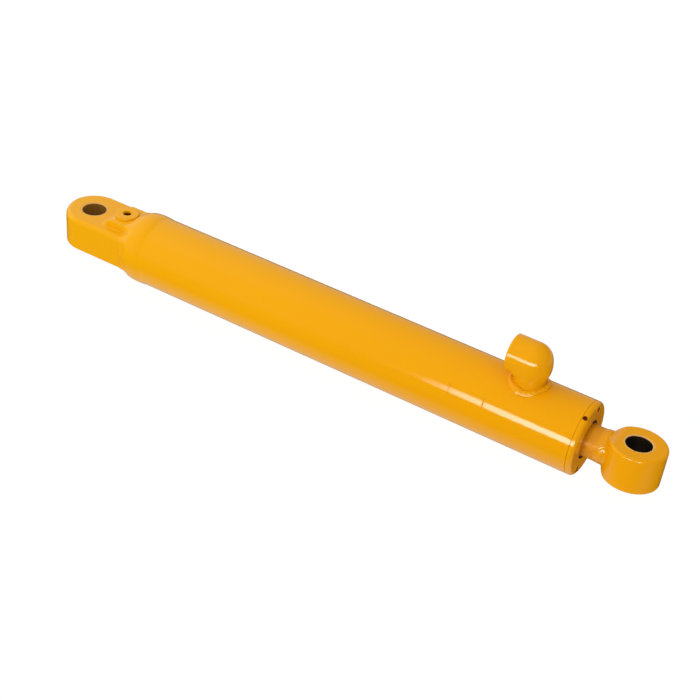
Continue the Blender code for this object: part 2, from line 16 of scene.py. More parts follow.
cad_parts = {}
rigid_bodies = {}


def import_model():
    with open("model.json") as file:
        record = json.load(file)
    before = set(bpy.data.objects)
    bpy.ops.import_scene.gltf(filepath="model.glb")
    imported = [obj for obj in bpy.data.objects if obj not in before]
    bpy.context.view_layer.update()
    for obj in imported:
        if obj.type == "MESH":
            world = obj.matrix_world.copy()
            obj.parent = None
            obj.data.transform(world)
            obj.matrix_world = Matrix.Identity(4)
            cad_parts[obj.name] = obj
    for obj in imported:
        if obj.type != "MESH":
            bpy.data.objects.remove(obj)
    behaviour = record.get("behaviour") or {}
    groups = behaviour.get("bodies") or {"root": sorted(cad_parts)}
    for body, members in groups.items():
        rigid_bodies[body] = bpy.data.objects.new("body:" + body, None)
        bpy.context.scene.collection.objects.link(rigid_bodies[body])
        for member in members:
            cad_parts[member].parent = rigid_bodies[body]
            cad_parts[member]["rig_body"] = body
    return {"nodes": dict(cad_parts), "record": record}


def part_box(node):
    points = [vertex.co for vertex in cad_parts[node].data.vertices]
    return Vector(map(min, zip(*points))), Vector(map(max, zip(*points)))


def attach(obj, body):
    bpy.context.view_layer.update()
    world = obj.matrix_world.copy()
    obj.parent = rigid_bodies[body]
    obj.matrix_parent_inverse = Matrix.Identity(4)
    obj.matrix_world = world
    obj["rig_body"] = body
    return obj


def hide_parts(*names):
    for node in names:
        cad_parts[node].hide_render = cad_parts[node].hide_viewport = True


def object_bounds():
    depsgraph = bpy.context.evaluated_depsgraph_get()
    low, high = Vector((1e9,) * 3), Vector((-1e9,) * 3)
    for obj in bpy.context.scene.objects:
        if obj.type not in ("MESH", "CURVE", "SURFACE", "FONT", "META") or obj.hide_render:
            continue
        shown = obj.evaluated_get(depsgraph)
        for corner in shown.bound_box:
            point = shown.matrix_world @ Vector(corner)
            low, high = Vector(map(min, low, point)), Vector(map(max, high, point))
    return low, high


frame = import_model()
CAD_BOX = [list(corner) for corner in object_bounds()]

# -------- places, read from the frame where it has them


def middle(node):
    """Centre of a CAD node's box."""
    low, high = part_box(node)
    return (low + high) / 2


def mount_place(name):
    """A mount's place, in the layout."""
    found = next(m for m in frame["record"]["mounts"] if m["name"] == name)
    return Vector(found["pos_m"]) - ORIGIN


def span(node, axis):
    """Lowest and highest place of a CAD node along one axis, in the layout."""
    low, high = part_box(node)
    return low[axis] - ORIGIN[axis], high[axis] - ORIGIN[axis]


ORIGIN = Vector((middle("base_pin_bush").x, 0.0, middle("barrel_tube").z))
LAYOUT = Matrix.Translation(ORIGIN)
TUBE_R = span("barrel_tube", 1)[1]
TUBE_END_X = span("barrel_tube", 0)[1]
ROD_R = span("rod_shaft", 1)[1]
ROD_END_X, ROD_PREP_X = span("rod_shaft", 0)
GLAND_FACE_X = span("gland", 0)[1]
BUSH_R = span("base_pin_bush", 1)[1]
EYE_X = middle("rod_eye_bush").x - ORIGIN.x
EYE_R = span("rod_eye", 0)[1] - EYE_X
NECK_START_X = span("rod_eye", 0)[0]
EYE_TURN = math.radians(-4.0)
EYE_WIDTH = 0.0510
LUG_R = -span("base_cap", 0)[0]
CAP_INNER_X = span("base_cap", 0)[1]
LUG_THICK = 2 * span("base_pin_bush", 2)[1] + 0.0004
PAD_TOP_Z = mount_place("base_port_face").z
WELD_X = span("base_weld", 0)
WELD_CREST_R = span("base_weld", 1)[1]
BORE_R = 0.04445
FOOT_Z = 0.036  # well below the elbow's foot on the tube
OUTLET_X = span("port_elbow", 0)[0]
LEG_R = span("port_elbow", 1)[1]
ELBOW_AXIS_Z = span("port_elbow", 2)[1] - LEG_R
ELBOW_X = span("port_elbow", 0)[1] - LEG_R
STEM_R = 0.0208
ELBOW_WELD_R = span("port_elbow_weld", 1)[1]
EYE_WELD_X = span("rod_eye_weld", 0)

SEAT = 0.0002  # how far a piece sinks into a neighbour on the same body, to close the CAD's gap
FINE_STEPS = 192
RING_STEPS = 128
SMOOTH_ANGLE = math.radians(32)

# -------- node helpers for the materials


class Graph:
    """A material or world being wired, with a short call for each kind of node."""

    def __init__(self, owner):
        owner.use_nodes = True
        self.tree = owner.node_tree
        self.tree.nodes.clear()

    def add(self, kind, settings=None, **inputs):
        """A new node with its settings and inputs; an input's name has _ for each space."""
        node = self.tree.nodes.new("ShaderNode" + kind)
        for key, value in (settings or {}).items():
            setattr(node, key, value)
        for key, value in inputs.items():
            self.put(node, key.replace("_", " "), value)
        return node

    def feed(self, socket, value):
        """Link another node's output into a socket, or set the socket's own value."""
        if isinstance(value, bpy.types.NodeSocket):
            self.tree.links.new(value, socket)
        else:
            socket.default_value = value

    def put(self, node, name, value):
        """Feed a node's input by its name."""
        sockets = [s for s in node.inputs if s.name == name and s.enabled]
        self.feed(sockets[0] if sockets else node.inputs[name], value)

    def maths(self, operation, *values):
        node = self.add("Math", {"operation": operation})
        for socket, value in zip(node.inputs, values):
            self.feed(socket, value)
        return node.outputs[0]

    def plus(self, a, b):
        return self.maths("ADD", a, b)

    def minus(self, a, b):
        return self.maths("SUBTRACT", a, b)

    def times(self, a, b):
        return self.maths("MULTIPLY", a, b)

    def ramp(self, value, low, high, to_low=0.0, to_high=1.0, smooth=True):
        """to_low up to value low, to_high from value high, and a slope between them."""
        node = self.add("MapRange", {"interpolation_type": "SMOOTHSTEP" if smooth else "LINEAR"})
        given = {"Value": value, "From Min": low, "From Max": high, "To Min": to_low, "To Max": to_high}
        for name, item in given.items():
            self.put(node, name, item)
        return node.outputs[0]

    def mix(self, share, first, second):
        """The first colour where share is 0, and the second where it is 1."""
        node = self.add("Mix", {"data_type": "RGBA"})
        for index, value in ((0, share), (6, first), (7, second)):
            self.feed(node.inputs[index], value)
        return node.outputs[2]

    def noise(self, place, scale, detail=3.0, roughness=0.5):
        node = self.add("TexNoise", Vector=place, Scale=scale, Detail=detail, Roughness=roughness)
        return node.outputs[0]

    def place(self):
        """A piece's own coordinates, which are the frame's at rest."""
        return self.add("TexCoord").outputs["Object"]

    def apart(self, vector):
        """A vector's x, y and z."""
        return self.add("SeparateXYZ", Vector=vector).outputs

    def stretched(self, vector, x, y, z):
        """A vector with each of its parts scaled."""
        return self.add("Mapping", Vector=vector, Scale=(x, y, z)).outputs[0]

    def bump(self, height, strength, distance):
        return self.add("Bump", Height=height, Strength=strength, Distance=distance).outputs[0]

    def surface(self, shader):
        self.add("OutputMaterial", Surface=shader.outputs[0])


def colour(red, green, blue):
    return (red, green, blue, 1.0)


# -------- materials

PAINT_BASE_END = colour(0.87, 0.400, 0.0015)
PAINT_ROD_END = colour(0.80, 0.330, 0.0006)
PAINT_THIN = colour(0.84, 0.42, 0.01)
# painted shade: the rod's paint, darkened where it meets the gland face
PAINT_IN_PAINTED_SHADE = colour(0.42, 0.125, 0.001)
# painted shade inside the gland's spanner and hook holes
HOLE_SHADE_COLOUR = colour(0.30, 0.065, 0.008)
SCAR_COLOUR = colour(0.68, 0.28, 0.001)
# painted shade down the base port, over its thin misted paint
PORT_SHADE_COLOUR = colour(0.20, 0.060, 0.002)
SCAR_X = (0.6240, 0.6738)
PIN_HOLE_CIRCLE_R = 0.0416
PIN_HOLE_R = 0.0040
PIN_HOLE_ANGLES = (67.0, 247.0)
HOOK_HOLE_X = 0.8011
HOOK_HOLE_R = 0.0031
HOOK_HOLE_ANGLES = (114.6, 294.6)
PORT_X = 0.0615
PORT_R = 0.0055
WIPER_BARE_ANGLE = 62.0  # across the cylinder, the way to the wiper's two bare flanks


def paint_colour(graph, place):
    """Yellow enamel: a little more orange towards the rod end, with slow drifts in its depth."""
    along = graph.apart(place)[0]
    low, high = CAD_BOX[0][0], CAD_BOX[1][0]
    share = graph.ramp(along, low, high, smooth=False)
    base = graph.mix(share, PAINT_BASE_END, PAINT_ROD_END)
    drift = graph.ramp(graph.noise(place, 9.0, 2.0), 0.35, 0.7, 0.0, 0.10)
    deeper = graph.mix(drift, base, colour(0.76, 0.30, 0.001))
    mottle = graph.ramp(graph.noise(place, 160.0, 3.0), 0.45, 0.8, 0.0, 0.10)
    return graph.mix(mottle, deeper, PAINT_THIN)


def paint_relief(graph, place, cast):
    """Orange peel in the enamel, over the rougher skin of a forging where cast is above zero."""
    peel = graph.noise(place, 420.0, 2.0)
    waves = graph.noise(place, 55.0, 2.0)
    height = graph.plus(graph.times(peel, 0.35), waves)
    if cast:
        skin = graph.noise(place, 210.0, 4.0, 0.6)
        height = graph.plus(height, graph.times(skin, cast))
    return height


def across(graph, y, up, degrees):
    """How far a point lies along, and across, a direction in the plane across the cylinder."""
    turn = math.radians(degrees)
    parts = []
    for a, b in ((math.cos(turn), math.sin(turn)), (-math.sin(turn), math.cos(turn))):
        parts.append(graph.plus(graph.times(y, a), graph.times(up, b)))
    return parts


def distance(graph, a, b):
    """The length of a step of a and b at right angles."""
    squares = [graph.maths("POWER", part, 2.0) for part in (a, b)]
    return graph.maths("SQRT", graph.plus(*squares))


def shade_in_spanner_holes(graph, place):
    """1 on the walls of the gland's spanner holes, which are coloured dark with painted shade, and 0
    elsewhere.
    """
    x, y, z = graph.apart(place)
    up = graph.minus(z, ORIGIN.z)
    along, off = across(graph, y, up, PIN_HOLE_ANGLES[0])
    from_pin = distance(graph, graph.minus(graph.maths("ABSOLUTE", along), PIN_HOLE_CIRCLE_R), off)
    _, off = across(graph, y, up, HOOK_HOLE_ANGLES[0])
    from_hook = distance(graph, graph.minus(x, ORIGIN.x + HOOK_HOLE_X), off)
    near_pin = graph.maths("LESS_THAN", from_pin, PIN_HOLE_R + 0.0001)
    near_hook = graph.maths("LESS_THAN", from_hook, HOOK_HOLE_R + 0.0001)
    return graph.maths("MAXIMUM", near_pin, near_hook)


def shade_in_base_port(graph, place):
    """1 on the walls of the base port and the oil way, where the paint is only mist and the shade down the
    hole is painted in, and 0 elsewhere.
    """
    x, y, z = graph.apart(place)
    from_port = distance(graph, graph.minus(x, ORIGIN.x + PORT_X), y)
    near = graph.maths("LESS_THAN", from_port, PORT_R + 0.0001)
    # the painted shade comes in from 1.5 to 3.5 mm below the pad's face
    deep = graph.ramp(z, PAD_TOP_Z + ORIGIN.z - 0.0015, PAD_TOP_Z + ORIGIN.z - 0.0035)
    return graph.times(near, deep)


def in_scars(graph, place):
    """1 on two short dull scars across the side of the tube, and 0 elsewhere."""
    x, y, z = graph.apart(place)
    marks = [graph.maths("ABSOLUTE", graph.minus(x, ORIGIN.x + at)) for at in SCAR_X]
    narrow = graph.ramp(graph.maths("MINIMUM", *marks), 0.0007, 0.0013, 1.0, 0.0)
    up = graph.minus(z, ORIGIN.z)
    high = graph.ramp(up, 0.0130, 0.0165)
    low = graph.ramp(up, 0.0270, 0.0310, 1.0, 0.0)
    front = graph.maths("LESS_THAN", y, 0.0)
    return graph.times(graph.times(narrow, front), graph.times(high, low))


def new_material(name):
    """A material, its graph and a piece's own coordinates in it."""
    made = bpy.data.materials.new(name)
    graph = Graph(made)
    return made, graph, graph.place()


def paint(name, roughness, cast, flaw_and_shade=None, flaw_and_shade_colour=None):
    """Glossy yellow enamel, sprayed over steel; the mask after cast says where it's dull and of another
    colour: real scars on the tube, and painted shade in the gland's holes and the base port.
    """
    made, graph, place = new_material(name)
    coat = paint_colour(graph, place)
    shine = graph.ramp(graph.noise(place, 34.0, 3.0), 0.3, 0.75, roughness, roughness * 1.2)
    relief = graph.bump(paint_relief(graph, place, cast), 0.22, 0.0006)
    shader = graph.add("BsdfPrincipled", Base_Color=coat, Roughness=shine, Normal=relief)
    if flaw_and_shade:
        where = flaw_and_shade(graph, place)
        graph.put(shader, "Base Color", graph.mix(where, coat, flaw_and_shade_colour))
        graph.put(shader, "Roughness", graph.plus(shine, graph.times(where, 0.30)))
        graph.put(shader, "Specular IOR Level", graph.ramp(where, 0.0, 1.0, 0.5, 0.05))
    graph.surface(shader)
    return made


def chrome_with_paint():
    """Hard chrome along the rod, under the yellow paint that covers its outer end; next to the gland face
    that paint is darkened with painted shade.
    """
    made, graph, place = new_material("hard_chrome_part_painted")
    along = graph.apart(place)[0]
    edge = ORIGIN.x + GLAND_FACE_X
    ragged = graph.times(graph.noise(place, 90.0, 3.0), 0.0012)
    painted = graph.ramp(graph.plus(along, ragged), edge - 0.0030, edge - 0.0018)
    ground = graph.noise(graph.stretched(place, 900.0, 25.0, 25.0), 1.0, 4.0)
    steel = graph.mix(ground, colour(0.62, 0.63, 0.65), colour(0.74, 0.75, 0.77))
    # painted shade: the paint darkens towards the gland face, in the corner where rod and gland meet
    shade_by_gland = graph.ramp(along, edge + 0.0010, edge + 0.0085, 0.75, 0.22)
    coat = graph.mix(shade_by_gland, paint_colour(graph, place), PAINT_IN_PAINTED_SHADE)
    shine = graph.ramp(ground, 0.3, 0.7, 0.07, 0.14)
    dull = graph.ramp(along, edge + 0.0040, edge + 0.0085, 0.14, 0.26)
    relief = graph.times(paint_relief(graph, place, 0.6), painted)
    shader = graph.add(
        "BsdfPrincipled",
        Base_Color=graph.mix(painted, steel, coat),
        Metallic=graph.minus(1.0, painted),
        Roughness=graph.plus(shine, graph.times(painted, dull)),
        Specular_IOR_Level=graph.ramp(painted, 0.0, 1.0, 0.5, 0.25),
        Normal=graph.bump(relief, 0.2, 0.0005),
    )
    graph.surface(shader)
    return made


def turned_steel(name, light, dark, roughness, lines):
    """Bare machined steel with its tool marks; lines is how many noise cells lie in a metre of X."""
    made, graph, place = new_material(name)
    marks = graph.noise(graph.stretched(place, lines, lines * 0.02, lines * 0.02), 1.0, 4.0)
    stain = graph.ramp(graph.noise(place, 45.0, 4.0), 0.4, 0.75)
    shader = graph.add(
        "BsdfPrincipled",
        Metallic=1.0,
        Base_Color=graph.mix(stain, light, dark),
        Roughness=graph.ramp(marks, 0.25, 0.75, roughness, roughness + 0.18),
        Normal=graph.bump(marks, 0.3, 0.0003),
    )
    graph.surface(shader)
    return made


def bush_with_painted_light(name, tint_with_painted_light, overspray, metal, turn=0.0):
    """Bush steel with its bore's light and shade painted into its tint, its rims dusted with yellow paint;
    turn is how far it stands turned.
    """
    made, graph, place = new_material(name)
    _, y, z = graph.apart(place)
    level = graph.times(graph.minus(z, ORIGIN.z), math.cos(turn))
    height = graph.maths("ABSOLUTE", graph.minus(level, graph.times(y, math.sin(turn))))
    cloud = graph.times(graph.noise(place, 120.0, 4.0), 0.0012)
    near_rim = graph.ramp(graph.plus(height, cloud), *overspray)
    streaks = graph.noise(graph.stretched(place, 260.0, 260.0, 30.0), 1.0, 4.0)
    # the tint here carries the bore's painted light and shade
    steel = graph.mix(streaks, tint_with_painted_light, colour(*(0.45 * c for c in tint_with_painted_light[:3])))
    shader = graph.add(
        "BsdfPrincipled",
        Base_Color=graph.mix(near_rim, steel, colour(0.78, 0.42, 0.10)),
        Metallic=graph.times(graph.minus(1.0, near_rim), metal),
        Roughness=graph.ramp(streaks, 0.3, 0.7, 0.30, 0.50),
        Normal=graph.bump(streaks, 0.2, 0.0003),
    )
    graph.surface(shader)
    return made


def elastomer(name, base, deep, roughness, grain):
    """Rubber or urethane, with a fine moulded grain and a little bloom."""
    made, graph, place = new_material(name)
    bloom = graph.ramp(graph.noise(place, 60.0, 4.0), 0.35, 0.75)
    fine = graph.noise(place, grain, 3.0)
    shader = graph.add(
        "BsdfPrincipled",
        Base_Color=graph.mix(bloom, deep, base),
        Roughness=graph.ramp(fine, 0.3, 0.7, roughness, roughness + 0.15),
        Normal=graph.bump(fine, 0.15, 0.0003),
    )
    graph.surface(shader)
    return made


def wiper_with_painted_shade():
    """Dark red wiper under yellow overspray, whose orange is darkened with painted shade from the rod
    beside it; the dark red shows only on two flanks across the rod.
    """
    made, graph, place = new_material("wiper_urethane_overspray_painted_shade")
    _, y, z = graph.apart(place)
    toward, _ = across(graph, y, graph.minus(z, ORIGIN.z), WIPER_BARE_ANGLE)
    cloud = graph.times(graph.noise(place, 300.0, 3.0), 0.002)
    bare = graph.ramp(graph.plus(graph.maths("ABSOLUTE", toward), cloud), 0.0225, 0.0240)
    red = graph.mix(graph.noise(place, 200.0), colour(0.10, 0.012, 0.004), colour(0.05, 0.006, 0.002))
    # painted shade: the overspray's orange is darker than the paint, for the shade next to the rod
    dusted_and_shaded = graph.mix(bare, colour(0.55, 0.20, 0.004), red)
    relief = graph.bump(cloud, 0.3, 0.0003)
    graph.surface(graph.add("BsdfPrincipled", Roughness=0.45, Base_Color=dusted_and_shaded, Normal=relief))
    return made


# finish: the material's name, roughness, cast skin, and the mask and colour for its scars, on the tube,
# and for the painted shade in its holes, on gland and cap
ENAMELS = {
    "smooth_paint": ("yellow_enamel_on_tube", 0.085, 0.0, in_scars, SCAR_COLOUR),
    "gland_paint": ("yellow_enamel_on_gland", 0.09, 0.0, shade_in_spanner_holes, HOLE_SHADE_COLOUR),
    "cast_paint": ("yellow_enamel_on_forging", 0.11, 0.8),
    "weld_paint": ("yellow_enamel_on_weld", 0.09, 0.5),
    "dull_weld_paint": ("dull_yellow_enamel_on_weld", 0.17, 0.5),
    "cap_paint": ("yellow_enamel_on_cap", 0.11, 0.8, shade_in_base_port, PORT_SHADE_COLOUR),
}
NITRILE = (colour(0.022, 0.022, 0.023), colour(0.012, 0.012, 0.012), 0.5, 1500)
URETHANE = (colour(0.05, 0.13, 0.33), colour(0.03, 0.08, 0.22), 0.32, 900)
NYLON = (colour(0.58, 0.44, 0.22), colour(0.48, 0.35, 0.16), 0.42, 1100)
STEEL = (colour(0.50, 0.48, 0.45), colour(0.36, 0.34, 0.31), 0.25, 2500)
# a bush's tint, which carries painted light and shade, how far from its middle the overspray starts and is
# full, and how metallic it is
# brown-gold: painted light on the lug's bore, lit from the left and tinted by the yellow it reflects, over
# a dusting of paint
BASE_BUSH_PAINTED_LIGHT = (colour(0.46, 0.21, 0.022), (0.0244, 0.0251), 0.25)
# near black: painted shade deep in the eye's bore
EYE_BUSH_PAINTED_SHADE = (colour(0.060, 0.042, 0.022), (0.0246, 0.0251), 0.7, EYE_TURN)

# finish: the material and the record's slot for it
MATERIALS = {finish: (paint(*look), "yellow_paint") for finish, look in ENAMELS.items()}
MATERIALS |= {
    "chrome": (chrome_with_paint(), "hard_chrome"),
    "steel": (turned_steel("turned_steel", *STEEL), "machined_steel"),
    "base_bush": (bush_with_painted_light("bush_steel_dusted_painted_light", *BASE_BUSH_PAINTED_LIGHT), "bush_steel"),
    "eye_bush": (bush_with_painted_light("bush_steel_painted_shade", *EYE_BUSH_PAINTED_SHADE), "bush_steel"),
    "nitrile": (elastomer("nitrile_grained", *NITRILE), "nitrile_rubber"),
    "urethane": (elastomer("urethane_moulded", *URETHANE), "seal_urethane"),
    "wiper": (wiper_with_painted_shade(), "wiper_urethane"),
    "nylon": (elastomer("guide_nylon_turned", *NYLON), "guide_nylon"),
}


# -------- fields: shapes as distances


def merged(a, b, radius):
    """Both shapes, with a fillet of this radius where they meet."""
    u = np.maximum(radius - a, 0.0)
    v = np.maximum(radius - b, 0.0)
    return np.maximum(radius, np.minimum(a, b)) - np.hypot(u, v)


def common(a, b, radius):
    """Only what both shapes hold, with the edge between them rounded."""
    u = np.maximum(radius + a, 0.0)
    v = np.maximum(radius + b, 0.0)
    return np.minimum(-radius, np.maximum(a, b)) + np.hypot(u, v)


def slab(place, low, high):
    """Distance outside a slab between two planes."""
    return np.abs(place - (low + high) / 2) - (high - low) / 2


def drum(along, radial, low, high, radius, edge):
    """A round bar with rounded edges; radial is the distance from its axis."""
    return common(radial - radius, slab(along, low, high), edge)


def block(x, y, z, low, high, edge):
    """A box with rounded edges."""
    sides = common(slab(x, low[0], high[0]), slab(y, low[1], high[1]), edge)
    return common(sides, slab(z, low[2], high[2]), edge)


def surface_of(field, low, high, cell):
    """Points and faces of a field's zero surface, one point in each cell that the surface crosses."""
    counts = [int(math.ceil((b - a) / cell)) + 1 for a, b in zip(low, high)]
    lines = [a + cell * np.arange(n) for a, n in zip(low, counts)]
    values = field(*np.meshgrid(*lines, indexing="ij"))
    shape = [n - 1 for n in counts]
    total = np.zeros((*shape, 3))
    hits = np.zeros(shape)
    rings = []
    for axis in range(3):
        first = np.take(values, range(shape[axis]), axis)
        second = np.take(values, range(1, counts[axis]), axis)
        crossing = (first < 0) != (second < 0)
        index = np.argwhere(crossing)
        u, v = (axis + 1) % 3, (axis + 2) % 3
        index = index[(index[:, u] > 0) & (index[:, v] > 0)]
        index = index[(index[:, u] < shape[u]) & (index[:, v] < shape[v])]
        a, b = first[tuple(index.T)], second[tuple(index.T)]
        point = index.astype(float)
        point[:, axis] += a / (a - b)
        around = []
        for step_u, step_v in ((-1, -1), (0, -1), (0, 0), (-1, 0)):
            cells = index.copy()
            cells[:, u] += step_u
            cells[:, v] += step_v
            np.add.at(total, tuple(cells.T), point)
            np.add.at(hits, tuple(cells.T), 1)
            around.append(np.ravel_multi_index(tuple(cells.T), shape))
        ring = np.stack(around, 1)
        ring[a >= 0] = ring[a >= 0][:, ::-1]
        rings.append(ring)
    used = np.flatnonzero(hits)
    points = total.reshape(-1, 3)[used] / hits.reshape(-1)[used, None] * cell + np.array(low)
    number = np.full(hits.size, -1)
    number[used] = np.arange(len(used))
    return settled(field, points, cell), number[np.concatenate(rings)]


def settled(field, points, cell):
    """Points moved straight onto the field's zero surface."""
    step = cell * 0.05
    for _ in range(4):
        value = field(*points.T)
        sides = [(points + way, points - way) for way in np.eye(3) * step]
        slope = np.stack([(field(*a.T) - field(*b.T)) / (2 * step) for a, b in sides], 1)
        steep = np.maximum((slope**2).sum(1), 0.2)
        move = -(value / steep)[:, None] * slope
        length = np.linalg.norm(move, axis=1, keepdims=True)
        points = points + move * np.minimum(1.0, 0.4 * cell / np.maximum(length, 1e-12))
    return points


# -------- meshes


def add_object(name, data):
    """An object in the scene for a mesh or a camera."""
    made = bpy.data.objects.new(name, data)
    bpy.context.scene.collection.objects.link(made)
    return made


def add_mesh(name, points, faces):
    """A mesh object in the layout's coordinates."""
    mesh = bpy.data.meshes.new(name)
    mesh.from_pydata([tuple(p) for p in points], [], [tuple(int(i) for i in f) for f in faces])
    return add_object(name, mesh)


def sculpted(name, field, low, high, cell):
    """An object whose surface is a field's zero surface."""
    return add_mesh(name, *surface_of(field, low, high, cell))


def braced(outline, solid):
    """The outline with two more points just inside the ends of each long run, so that the shading
    of a long flank isn't bent by the easing at its corners."""
    points = [Vector(p) for p in outline]
    made = []
    for i, start in enumerate(points):
        made.append(tuple(start))
        if solid and i == len(points) - 1:
            break
        end = points[(i + 1) % len(points)]
        reach = (end - start).length
        if reach > 0.0030:
            made.append(tuple(start.lerp(end, 0.0003 / reach)))
            made.append(tuple(start.lerp(end, 1.0 - 0.0003 / reach)))
    return made


def lathe(name, outline, steps=FINE_STEPS, radius_at=None, axis="X"):
    """A turned piece from an outline of (along, radius) points, round its section once.
    An outline that starts and ends on the axis makes a solid piece, and any other one a ring.
    radius_at(along, radius, angle) may change the radius, for ripples. Angles run from +Y to +Z."""
    solid = outline[0][1] < 1e-9 and outline[-1][1] < 1e-9
    outline = braced(outline, solid)
    along = np.array([p[0] for p in outline])
    radius = np.array([p[1] for p in outline])
    angle = 2 * math.pi * np.arange(steps) / steps
    along, turn = np.broadcast_arrays(along[None, :], angle[:, None])
    radius = np.broadcast_to(radius[None, :], along.shape)
    if radius_at:
        radius = radius_at(along, radius, turn)
    grid = np.stack([along, radius * np.cos(turn), radius * np.sin(turn)], -1)
    if axis == "Z":
        grid = grid[..., [1, 2, 0]]
    count = len(outline)
    faces = []
    for i in range(steps):
        j = (i + 1) % steps
        for k in range(count - 1 if solid else count):
            m = (k + 1) % count
            faces.append((i * count + k, i * count + m, j * count + m, j * count + k))
    made = add_mesh(name, grid.reshape(-1, 3), faces)
    shape = bmesh.new()
    shape.from_mesh(made.data)
    bmesh.ops.remove_doubles(shape, verts=shape.verts, dist=1e-7)
    bmesh.ops.dissolve_degenerate(shape, edges=shape.edges, dist=1e-8)
    bmesh.ops.recalc_face_normals(shape, faces=shape.faces)
    shape.to_mesh(made.data)
    shape.free()
    return made


def rounded(outline, radius, segments=3, closed=True):
    """The outline with each corner eased by an arc, as wide as its neighbours allow. The radius is
    a number, or a function of the corner."""
    count = len(outline)
    points = [Vector(p) for p in outline]
    made = []
    for i, corner in enumerate(points):
        if not closed and i in (0, count - 1):
            made.append(tuple(corner))
            continue
        back = points[i - 1] - corner
        ahead = points[(i + 1) % count] - corner
        turn = math.pi - back.angle(ahead)
        if turn < math.radians(12):
            made.append(tuple(corner))
            continue
        size = radius(corner) if callable(radius) else radius
        reach = min(size * math.tan(turn / 2), 0.48 * back.length, 0.48 * ahead.length)
        start = corner + back.normalized() * reach
        end = corner + ahead.normalized() * reach
        for k in range(segments + 1):
            t = k / segments
            made.append(tuple(start * (1 - t) ** 2 + corner * 2 * t * (1 - t) + end * t**2))
    return made


def section_of(node):
    """The (x, radius) outline of a turned CAD node, read where its mesh crosses the plane below the
    cylinder's axis."""
    shape = bmesh.new()
    shape.from_mesh(frame["nodes"][node].data)
    bmesh.ops.remove_doubles(shape, verts=shape.verts, dist=1e-6)
    everything = list(shape.verts) + list(shape.edges) + list(shape.faces)
    cut = bmesh.ops.bisect_plane(shape, geom=everything, dist=1e-6, plane_co=ORIGIN, plane_no=(0, 1, 0))
    links = {}
    for edge in cut["geom_cut"]:
        if isinstance(edge, bmesh.types.BMEdge) and all(v.co.z < ORIGIN.z for v in edge.verts):
            a, b = ((round(v.co.x - ORIGIN.x, 6), round(ORIGIN.z - v.co.z, 6)) for v in edge.verts)
            links.setdefault(a, []).append(b)
            links.setdefault(b, []).append(a)
    shape.free()
    start = min(links)
    loop, last = [start], None
    while True:
        ahead = [p for p in links[loop[-1]] if p != last]
        last = loop[-1]
        if not ahead or ahead[0] == start:
            break
        loop.append(ahead[0])
    return simplified(loop)


def simplified(loop):
    """A closed outline without the points that lie on a straight run."""
    kept = []
    for i, point in enumerate(loop):
        back = Vector(loop[i - 1]) - Vector(point)
        ahead = Vector(loop[(i + 1) % len(loop)]) - Vector(point)
        if abs(back.normalized().cross(ahead.normalized())) > 0.01:
            kept.append(point)
    return kept


def threaded(outline, radius, start, end, pitch, depth):
    """The outline with a thread's teeth let into its straight run at this radius."""
    made = []
    for i, point in enumerate(outline):
        made.append(point)
        ahead = outline[(i + 1) % len(outline)]
        if abs(point[1] - radius) < 1e-5 and abs(ahead[1] - radius) < 1e-5:
            low, high = max(start, min(point[0], ahead[0])), min(end, max(point[0], ahead[0]))
            if high - low < 4 * pitch:
                continue
            count = int((high - low) / pitch) - 1
            teeth = [(low + pitch * (0.75 + k / 2), radius + depth * (k % 2)) for k in range(2 * count)]
            made += teeth if ahead[0] > point[0] else teeth[::-1]
    return made


def boolean(target, tool, operation="DIFFERENCE"):
    """Cut target with tool, or join tool to it, and drop the tool."""
    change = target.modifiers.new("change", "BOOLEAN")
    change.operation = operation
    change.solver = "EXACT"
    change.object = tool
    bpy.context.view_layer.update()
    seen = target.evaluated_get(bpy.context.evaluated_depsgraph_get())
    mesh = bpy.data.meshes.new_from_object(seen)
    target.modifiers.clear()
    target.data = mesh
    bpy.data.objects.remove(tool, do_unlink=True)


def finish_piece(made, node, finish):
    """Shade a piece, put it in the frame, and let it stand for its CAD node."""
    material, slot = MATERIALS[finish]
    mesh = made.data
    mesh.materials.clear()
    mesh.materials.append(material)
    mesh.shade_smooth()
    mesh.set_sharp_from_angle(angle=SMOOTH_ANGLE)
    mesh.transform(LAYOUT)
    mesh.update()
    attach(made, frame["nodes"][node]["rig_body"])
    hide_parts(node)
    return made


def placed_bar(name, start, end, radius, flare=0.0, steps=64):
    """A cutter between two points, opened by a small chamfer at its second end's face."""
    along = Vector(end) - Vector(start)
    length = along.length
    outline = [(0.0, 0.0), (0.0, radius), (length - flare, radius)]
    if flare:
        outline += [(length, radius + flare), (length + 0.002, radius + flare + 0.002)]
        length += 0.002
    outline.append((length, 0.0))
    made = lathe(name, outline, steps)
    turn = Vector((1, 0, 0)).rotation_difference(along.normalized())
    made.data.transform(Matrix.Translation(start) @ turn.to_matrix().to_4x4())
    return made


def pin_bore(name, half, radius, flare):
    """A cutter for a pin's bore, opened by a chamfer at both of its faces."""
    side = [(half - flare, radius), (half, radius + flare), (half + 0.004, radius + flare + 0.004)]
    outline = [(-z, r) for z, r in reversed(side)] + side
    outline = [(outline[0][0], 0.0)] + outline + [(outline[-1][0], 0.0)]
    return lathe(name, outline, axis="Z")


# -------- base end

BLOCK_X = (0.0345, 0.0900)
BLOCK_HALF_Y = 0.0262
BLOCK_TOP_Z = 0.0384
PAD_R = 0.0172
PORT_MOUTH_R = 0.0064
CAP_FACE_X = 0.0780
CAP_CONE = (0.0850, 1.0)  # where the cap's back is as wide as the lug, and its slope there
CAP_SHOULDER_X = 0.0980
CAP_JOINT_X = 0.1035
CAP_BEVEL = (0.588, 0.809)  # the square way out of the weld's bevel, along and away from the axis
CAP_FILLET = 0.0075  # between the cap's back and the lug
LUG_END_X = 0.0950
OIL_WAY_R = 0.0070


